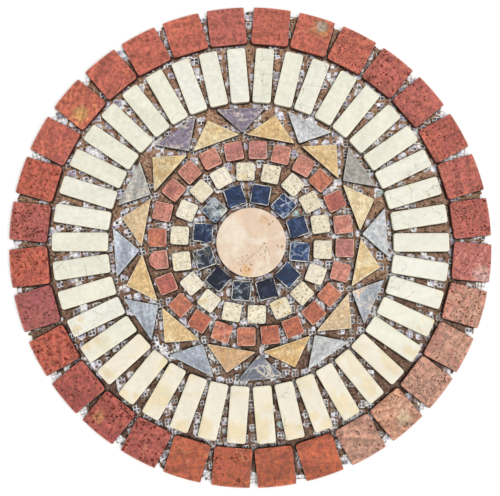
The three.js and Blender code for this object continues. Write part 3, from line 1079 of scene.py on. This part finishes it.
# Star of gold triangles pointing out and grey ones pointing in
star = {
    "shape": {
        "corner": 1.6, "edge": 0.8, "cell": 1.7, "uneven": 0.18, "outline": 0.15, "waviness": 0.12,
        "nick": 1.6, "nickFrom": 0.2, "nickPitch": 0.4, "lower": 0.6,
    },
    "gold": {
        "broad": 45, "fine": 260, "strata": 90, "mottle": 0.3, "strataShade": 0.16,
        "veinScale": 130, "veinWidth": 0.12, "veinForce": 0.7, "veinColour": "96683A",
        "speckScale": 430, "speckForce": 0.5, "speckDirtAndShade": "9C6B34", "speckDepth": 0.4,
        "rimWidth": 1.0, "rimForce": 0.6, "rimColour": "F8ECCC", "wallShade": "A8967E",
        "rough": 0.5, "grain": 0.2, "grainScale": 800, "gloss": 0.35,
    },
    "grey": {
        "broad": 55, "fine": 260, "strata": 110, "mottle": 0.36, "strataShade": 0.3,
        "veinScale": 60, "veinWidth": 0.06, "veinForce": 0.7, "veinColour": "EEE0C4",
        "speckScale": 430, "speckForce": 0.5, "speckDirtAndShade": "6C6A6C", "speckDepth": 0.3,
        "rimWidth": 1.0, "rimForce": 0.5, "rimColour": "E6E2D6", "wallShade": "A09A94",
        "rough": 0.48, "grain": 0.2, "grainScale": 800, "gloss": 0.35,
    },
    "goldTones": {
        "straw": ("F0DCAE", "DEBA80"), "gold": ("E8C48A", "F0D6A4"), "sand": ("E2C69E", "D0AA78"),
        "ochre": ("E2B876", "EACE9E"), "tan": ("E0B88C", "CEA06C"), "pale": ("F6E4BA", "E6C890"),
    },
    "goldOrder": "pale gold gold straw straw sand gold gold tan ochre sand straw".split(),
    "greyTones": {
        "pale": ("D0D4D6", "B4ACA0"), "umber": ("AAA49C", "8C8478"), "blue": ("ACB4C0", "C2C8CC"),
        "lilac": ("8E8092", "E2CFC0"), "cream": ("BEBAB2", "DCCAA8"), "slate": ("787C8A", "B2B2B0"),
        "light": ("CECECE", "B8BCBC"), "peach": ("B4BAC2", "E6C49E"), "sky": ("BAC2CE", "D0D4DA"),
    },
    "greyOrder": "pale umber light lilac lilac cream sky blue blue slate light peach".split(),
    "greyVeined": {0: 0.4, 3: 0.45, 4: 0.5, 6: 0.3, 8: 0.4, 9: 0.65, 11: 0.4},
}


def addStar():
    goldMaterial = stoneMaterial("gold_limestone", star["gold"])
    greyMaterial = stoneMaterial("blue_grey_marble", star["grey"])
    master = modelTriangle("triangle_model", star["shape"])
    sides = triangleSides()
    count = starLayout["count"]
    for i in range(count):
        goldAngle = math.radians(starLayout["first"] + 360 * i / count)
        greyAngle = goldAngle - halfStarPitch
        lean = math.radians(starLayout["leans"][i % len(starLayout["leans"])])
        layings = [
            ("gold_triangle", goldMaterial, "gold_stone", goldBase, goldAngle, goldAngle + lean),
            ("grey_triangle", greyMaterial, "grey_stone", greyBase, greyAngle, greyAngle + math.pi - lean),
        ]
        for kind, (name, material, slot, radius, angle, turn) in enumerate(layings):
            seed = 600 + 40 * kind + i
            rng = random.Random(seed)
            piece = copyOf(master, number(name, i) + "_stone")
            flat = 1 - rng.uniform(0, star["shape"]["lower"]) / panel["thickness"]
            piece.data.transform(Matrix.Diagonal((1, 1, flat, 1)))
            weather(piece, sides, star["shape"], seed)
            place = standPlace(radius, angle, turn)
            piece.data.transform(place)
            if kind == 0:
                tone, second = star["goldTones"][star["goldOrder"][i]]
                habit = (0.2, 0.35, rng.uniform(0.35, 0.6), 0.5)
            else:
                tone, second = star["greyTones"][star["greyOrder"][i]]
                habit = (0.4, 0.15, rng.uniform(0.3, 0.5), star["greyVeined"].get(i, 0.25))
            stone = {"tone": tone, "second": second, "habit": habit}
            markStone(piece, place, sides, stone, seed)
            addPiece(piece, material, [number(name, i)])
    bpy.data.objects.remove(master)
    print("star laid,", 2 * count, "triangles")


addStar()
bpy.data.objects.remove(roundCutter)

# What the net, the adhesive and the glue share: painted shade beside the stones, and a darker colour towards
# the panel's lower half
# the colour multiplied in as painted shade beside the stones, how far that shade reaches, and the colour
# multiplied in towards the panel's lower half
bedLook = {"shadeReach": 1.6, "darkening": "241B16", "lowerTint": "8C7A70"}


def makeStoneTree():
    points, faces = [], []
    for piece in laidStones:
        start = len(points)
        points.extend(vertex.co.copy() for vertex in piece.data.vertices)
        faces.extend([start + k for k in face.vertices] for face in piece.data.polygons)
    return BVHTree.FromPolygons(points, faces)


stoneTree = makeStoneTree()


def markNearness(mesh):
    # how close each point of the bedding lies to a stone, for the shade painted beside the stones
    reach = bedLook["shadeReach"] * mm
    values = [math.exp(-stoneTree.find_nearest(vertex.co)[3] / reach) for vertex in mesh.vertices]
    storePoints(mesh, "nearness", "FLOAT", values)


def paintShadeBesideStones(tree, colour, start=0.14):
    # painted shade beside the stones, from the nearness at which it starts
    near = put(tree, "Attribute", attribute_name="nearness").outputs["Fac"]
    return mixColours(tree, ramp(tree, near, start, 0.72), colour, paint(bedLook["darkening"]), "MULTIPLY")


def darkenLowerHalf(tree, colour):
    # darker towards the panel's lower half
    place = put(tree, "TexCoord").outputs["Object"]
    upward = put(tree, "SeparateXYZ", {"Vector": place}).outputs["Y"]
    upward = calc(tree, "MULTIPLY_ADD", noiseOf(tree, place, 9, 3, 0.5), 0.25, upward)
    lowerShare = ramp(tree, upward, -0.05, 0.25, 0.7, 0.0)
    return mixColours(tree, lowerShare, colour, paint(bedLook["lowerTint"]), "MULTIPLY")


# The net is one stretched cloth: threads every few millimetres, and adhesive along every third one
netLook = {
    "pitch": 4.33,
    "threadWidth": 1.15,
    "threadThickness": 0.5,
    "height": 1.0,
    "weave": 0.28,
    "reach": 298.6,
    "turn": 2.0,
    "fan": -0.0006,
    "bow": -0.00045,
    "white": "F2F2F6",
    "soiled": "AA927E",
}


def netPoint(u, v):
    # where a point of the flat cloth lies once it has been pulled about under the stones
    spread = u - v * (0.05 + netLook["fan"] * u)
    lift = v + 0.05 * u + netLook["bow"] * u * u + 3.0 * math.sin(v * 0.018 + 1)
    angle = math.radians(netLook["turn"])
    x = spread * math.cos(angle) - lift * math.sin(angle)
    y = spread * math.sin(angle) + lift * math.cos(angle)
    return x, y


def threadRuns(alongU):
    # points of each thread inside the panel, crossing over and under its neighbours
    pitch = netLook["pitch"]
    count = int(380 / pitch)
    runs = []
    for i in range(-count, count + 1):
        run = []
        for j in range(-count, count + 1):
            across, along = (i + 0.5) * pitch, (j + 0.5) * pitch
            x, y = netPoint(along, across) if alongU else netPoint(across, along)
            over = 1 if (i + j + alongU) % 2 else -1
            if math.hypot(x, y) < netLook["reach"]:
                z = netLook["height"] + netLook["weave"] * over
                run.append(Vector((x, y, z)) * mm)
            elif run:
                break
        if len(run) > 1:
            runs.append(run)
    return runs


def addThreads(name, alongU, material):
    # a curve with a flat square section for each thread, made a mesh
    curve = bpy.data.curves.new(name, "CURVE")
    curve.dimensions = "3D"
    curve.bevel_depth = netLook["threadWidth"] / 2 * mm
    curve.bevel_resolution = 0
    curve.use_fill_caps = True
    squash = netLook["threadThickness"] / netLook["threadWidth"]
    for run in threadRuns(alongU):
        line = curve.splines.new("POLY")
        line.points.add(len(run) - 1)
        for point, at in zip(line.points, run):
            point.co = (at.x, at.y, at.z / squash, 1)
    threads = bpy.data.objects.new(name, curve)
    bpy.context.scene.collection.objects.link(threads)
    select(threads)
    bpy.ops.object.convert(target="MESH")
    threads = bpy.context.object
    threads.data.transform(Matrix.Diagonal((1, 1, squash, 1)))
    markNearness(threads.data)
    addPiece(threads, material, ["net_backing"])
    print(name, "laid,", len(threads.data.polygons), "faces")


def netMaterial():
    material, tree, shader = makeMaterial("glass_fibre")
    place = put(tree, "TexCoord").outputs["Object"]
    darkening = ramp(tree, noiseOf(tree, place, 90, 4, 0.65), 0.42, 0.62)
    colour = mixColours(tree, darkening, paint(netLook["white"]), paint(netLook["soiled"]))
    fibre = noiseOf(tree, place, 2600, 2, 0.5)
    shade = ramp(tree, fibre, 0.3, 0.7, 0.85, 1.05)
    shadeColour = put(tree, "CombineColor", {"Red": shade, "Green": shade, "Blue": shade}).outputs[0]
    colour = mixColours(tree, 1.0, colour, shadeColour, "MULTIPLY")
    tree.links.new(paintShadeBesideStones(tree, colour, 0.3), shader.inputs["Base Color"])
    tree.links.new(ramp(tree, fibre, 0.2, 0.8, 0.4, 0.6), shader.inputs["Roughness"])
    bump = put(tree, "Bump", {"Strength": 0.5, "Distance": 0.0002, "Height": fibre})
    tree.links.new(bump.outputs["Normal"], shader.inputs["Normal"])
    return material


glassFibre = netMaterial()
addThreads("net_warp", False, glassFibre)
addThreads("net_weft", True, glassFibre)

# Adhesive: a grid of ridges on every third thread, smeared over some of the windows between them
adhesive = {
    "cells": 6,
    "reach": 299.2,
    "top": 1.95,
    "bottom": 0.15,
    "lumps": 0.35,
    "stray": 0.9,
    "bareRim": 30,
    "ragged": 3.4,
    "frayed": 1.2,
    "smearedFrom": 0.28,
    "tones": ("B38C68", "A37C60"),
    "crumb": "845A46",
    "dust": "DCC8B8",
    "shadedHollow": "2A1C15",
}
windowPitch = 3 * netLook["pitch"]


def isSmeared(i, j):
    # whether adhesive fills the window
    spot = Vector((i * 0.27, j * 0.27, 4.2))
    return noise.noise(spot) + 0.35 * wobble(i, j) > adhesive["smearedFrom"]


def addAdhesive():
    cell = windowPitch / adhesive["cells"]
    steps = 2 * int(370 / cell)
    deselectAll()
    bpy.ops.mesh.primitive_grid_add(x_subdivisions=steps, y_subdivisions=steps, size=steps * cell)
    sheet = bpy.context.object
    sheet.name = "adhesive_bed"
    bpy.ops.object.mode_set(mode="EDIT")

    def unwanted(face):
        u, v, _ = face.calc_center_median()
        x, y = netPoint(u, v)
        bare = max(0, 0.25 + noise.noise(Vector((x * 0.03, y * 0.03, 5))))
        if math.hypot(x, y) > adhesive["reach"] - adhesive["bareRim"] * bare:
            return True
        i, j = math.floor(u / windowPitch), math.floor(v / windowPitch)
        across = min(u - i * windowPitch, (i + 1) * windowPitch - u)
        along = min(v - j * windowPitch, (j + 1) * windowPitch - v)
        ragged = adhesive["ragged"] * noise.noise(Vector((u * 0.08, v * 0.08, 2)))
        ragged += adhesive["frayed"] * noise.noise(Vector((u * 0.3, v * 0.3, 7)))
        inWindow = min(across, along) + ragged > cell
        return inWindow and not isSmeared(i, j)

    pick(sheet, "FACE", unwanted)
    bpy.ops.mesh.delete(type="FACE")
    bpy.ops.mesh.select_all(action="SELECT")
    bpy.ops.mesh.vertices_smooth(factor=0.5, repeat=2)
    bpy.ops.object.mode_set(mode="OBJECT")
    for vertex in sheet.data.vertices:
        u, v, _ = vertex.co
        x, y = netPoint(u, v)
        here = Vector((u, v, 0))
        lump = adhesive["lumps"] * (noise.noise(here * 0.11) + 0.5 * noise.noise(here * 0.37))
        if math.hypot(x, y) < adhesive["reach"] - 2:
            x += adhesive["stray"] * noise.noise(here * 0.23)
            y += adhesive["stray"] * noise.noise(here * 0.23 + Vector((50, 0, 0)))
        vertex.co = Vector((x, y, adhesive["top"] + lump)) * mm
    body = sheet.modifiers.new("body", "SOLIDIFY")
    body.thickness = (adhesive["top"] - adhesive["bottom"] - adhesive["lumps"]) * mm
    body.offset = -1
    select(sheet)
    bpy.ops.object.modifier_apply(modifier=body.name)
    markNearness(sheet.data)
    addPiece(sheet, adhesiveMaterial(), ["net_backing"])
    print("adhesive spread,", len(sheet.data.polygons), "faces")


def adhesiveMaterial():
    material, tree, shader = makeMaterial("brown_adhesive")
    place = put(tree, "TexCoord").outputs["Object"]
    broad = ramp(tree, noiseOf(tree, place, 14, 3, 0.5), 0.35, 0.65)
    first, second = adhesive["tones"]
    colour = mixColours(tree, broad, paint(first), paint(second))
    fine = ramp(tree, noiseOf(tree, place, 160, 5, 0.65), 0.3, 0.7)
    colour = mixColours(tree, calc(tree, "MULTIPLY", fine, 0.7), colour, paint(adhesive["crumb"]))
    dust = ramp(tree, noiseOf(tree, place, 380, 3, 0.6), 0.56, 0.66)
    colour = mixColours(tree, calc(tree, "MULTIPLY", dust, 0.55), colour, paint(adhesive["dust"]))
    # painted shade: near-black in the small hollows, which the bump also sinks
    shadedHollow = ramp(tree, noiseOf(tree, place, 300, 3, 0.6, 0.8), 0.4, 0.46, 1, 0)
    colour = mixColours(tree, calc(tree, "MULTIPLY", shadedHollow, 0.9), colour, paint(adhesive["shadedHollow"]))
    tree.links.new(paintShadeBesideStones(tree, darkenLowerHalf(tree, colour)), shader.inputs["Base Color"])
    tree.links.new(ramp(tree, fine, 0, 1, 0.5, 0.8), shader.inputs["Roughness"])
    height = calc(tree, "MULTIPLY_ADD", noiseOf(tree, place, 700, 4, 0.6), 0.5, fine)
    height = calc(tree, "SUBTRACT", height, shadedHollow)
    bump = put(tree, "Bump", {"Strength": 0.6, "Distance": 0.0008, "Height": height})
    tree.links.new(bump.outputs["Normal"], shader.inputs["Normal"])
    return material


addAdhesive()

# Glue dried between the threads: four drops to a window, milky, brown or clear, the clear ones painted
# near-black as shade in the net's holes and the lilac ones as milky glue in painted shade
glueDrops = {
    "side": 3.5,
    "thickness": 0.4,
    "tones": {
        # lilac is milky glue in painted shade, and clear is near-black, painted shade in the net's holes
        "milky": "F4F2F6", "lilac": "A9A3B8", "brown": "8E7262", "clear": "0D0E16", "turquoise": "9CC8BE",
    },
    "height": {"milky": 1.25, "lilac": 1.05, "brown": 1.2, "clear": 0.55, "turquoise": 1.2},
    "dome": {"milky": 0.5, "lilac": 0.3, "brown": 0.4, "clear": 0.05, "turquoise": 0.4},
    "turquoisePlaces": [(56, 44), (-33, -230), (35, -222), (161, 59)],
    "turquoiseReach": 7,
    "paleRim": 272,
    "shadedClearLeast": 0.12,
    "shadedClearMost": 0.9,
    "alike": 0.6,
    "shade": (0.7, 1.08),
    "spread": (0.9, 1.2),
    "lavenderShade": "9A94B0",
    "dust": "B89A84",
}


def dropKind(i, j, rng):
    # milky in the upper part of the panel, mostly clear in the lower part, where the clear drops' near-black
    # is painted shade
    x, y = netPoint((i + 0.5) * windowPitch, (j + 0.5) * windowPitch)
    reach = glueDrops["turquoiseReach"]
    if any(math.hypot(x - a, y - b) < reach for a, b in glueDrops["turquoisePlaces"]):
        return "turquoise"
    patch = noise.noise(Vector((x * 0.03, y * 0.03, 9)))
    low = (0.2 * x - y) / panelRadius + 0.9 * patch
    if math.hypot(x, y) > glueDrops["paleRim"]:
        low -= 0.6
    if rng.random() < min(glueDrops["shadedClearMost"], max(glueDrops["shadedClearLeast"], 0.4 + 0.8 * low)):
        return "clear"
    # lilac drops are milky glue in painted shade
    return rng.choice(["milky", "milky", "milky", "lilac", "brown"])


def addDrops():
    # one small cushion is modelled, and a copy goes in each cell of the net that glue has filled
    deselectAll()
    bpy.ops.mesh.primitive_grid_add(x_subdivisions=2, y_subdivisions=2, size=2)
    model = bpy.context.object
    bpy.ops.object.mode_set(mode="EDIT")
    bpy.ops.mesh.select_all(action="SELECT")
    bpy.ops.mesh.extrude_region_move(TRANSFORM_OT_translate={"value": (0, 0, 1)})
    bpy.ops.mesh.select_all(action="SELECT")
    bpy.ops.mesh.normals_make_consistent(inside=False)
    bpy.ops.object.mode_set(mode="OBJECT")
    count = int(370 / windowPitch)
    quarter = netLook["pitch"] / 2
    cells = [(i, j) for i in range(-count, count) for j in range(-count, count) if not isSmeared(i, j)]
    drops = bmesh.new()
    tones = drops.verts.layers.float_color.new("tone")
    rng = random.Random(31)
    for i, j in cells:
        common = dropKind(i, j, rng)
        for across, along in ((-1, -1), (-1, 1), (1, -1), (1, 1)):
            u = (i + 0.5) * windowPitch + across * quarter
            v = (j + 0.5) * windowPitch + along * quarter
            x, y = netPoint(u, v)
            if math.hypot(x, y) > netLook["reach"] - 3:
                continue
            kind = common if rng.random() < glueDrops["alike"] else dropKind(i, j, rng)
            colour = paint(glueDrops["tones"][kind], rng.uniform(*glueDrops["shade"]))
            half = glueDrops["side"] / 2 * rng.uniform(*glueDrops["spread"])
            before = len(drops.verts)
            drops.from_mesh(model.data)
            drops.verts.ensure_lookup_table()
            for vertex in drops.verts[before:]:
                a, b, upper = vertex.co
                atX, atY = netPoint(u + a * half, v + b * half)
                z = glueDrops["height"][kind] + (1 - max(abs(a), abs(b))) * glueDrops["dome"][kind]
                vertex.co = Vector((atX, atY, z - (1 - upper) * glueDrops["thickness"])) * mm
                vertex[tones] = colour
    mesh = bpy.data.meshes.new("glue_drops")
    drops.to_mesh(mesh)
    drops.free()
    bpy.data.objects.remove(model)
    piece = bpy.data.objects.new("glue_drops", mesh)
    bpy.context.scene.collection.objects.link(piece)
    markNearness(mesh)
    addPiece(piece, dropMaterial(), ["net_backing"])
    print("glue drops laid,", len(mesh.polygons), "faces")


def dropMaterial():
    material, tree, shader = makeMaterial("dried_glue")
    place = put(tree, "TexCoord").outputs["Object"]
    tone = put(tree, "Attribute", attribute_name="tone").outputs["Color"]
    # painted shade: lavender patches multiplied into the glue's tone
    cloudy = ramp(tree, noiseOf(tree, place, 220, 3, 0.6), 0.4, 0.64)
    colour = mixColours(tree, cloudy, tone, paint(glueDrops["lavenderShade"]), "MULTIPLY")
    dust = ramp(tree, noiseOf(tree, place, 900, 3, 0.6), 0.6, 0.7)
    colour = mixColours(tree, calc(tree, "MULTIPLY", dust, 0.4), colour, paint(glueDrops["dust"]))
    tree.links.new(paintShadeBesideStones(tree, colour), shader.inputs["Base Color"])
    tree.links.new(ramp(tree, cloudy, 0, 1, 0.3, 0.45), shader.inputs["Roughness"])
    bump = put(tree, "Bump", {"Strength": 0.4, "Distance": 0.0004, "Height": noiseOf(tree, place, 500, 3)})
    tree.links.new(bump.outputs["Normal"], shader.inputs["Normal"])
    return material


addDrops()


def addFloor():
    deselectAll()
    bpy.ops.mesh.primitive_plane_add(size=studioLook["floorSize"], location=(0, 0, 0))
    floor = bpy.context.object
    floor.name = "floor"
    material, tree, shader = makeMaterial("floor_paint")
    shader.inputs["Base Color"].default_value = paint(studioLook["floorColour"])
    shader.inputs["Roughness"].default_value = 0.9
    floor.data.materials.append(material)


addFloor()
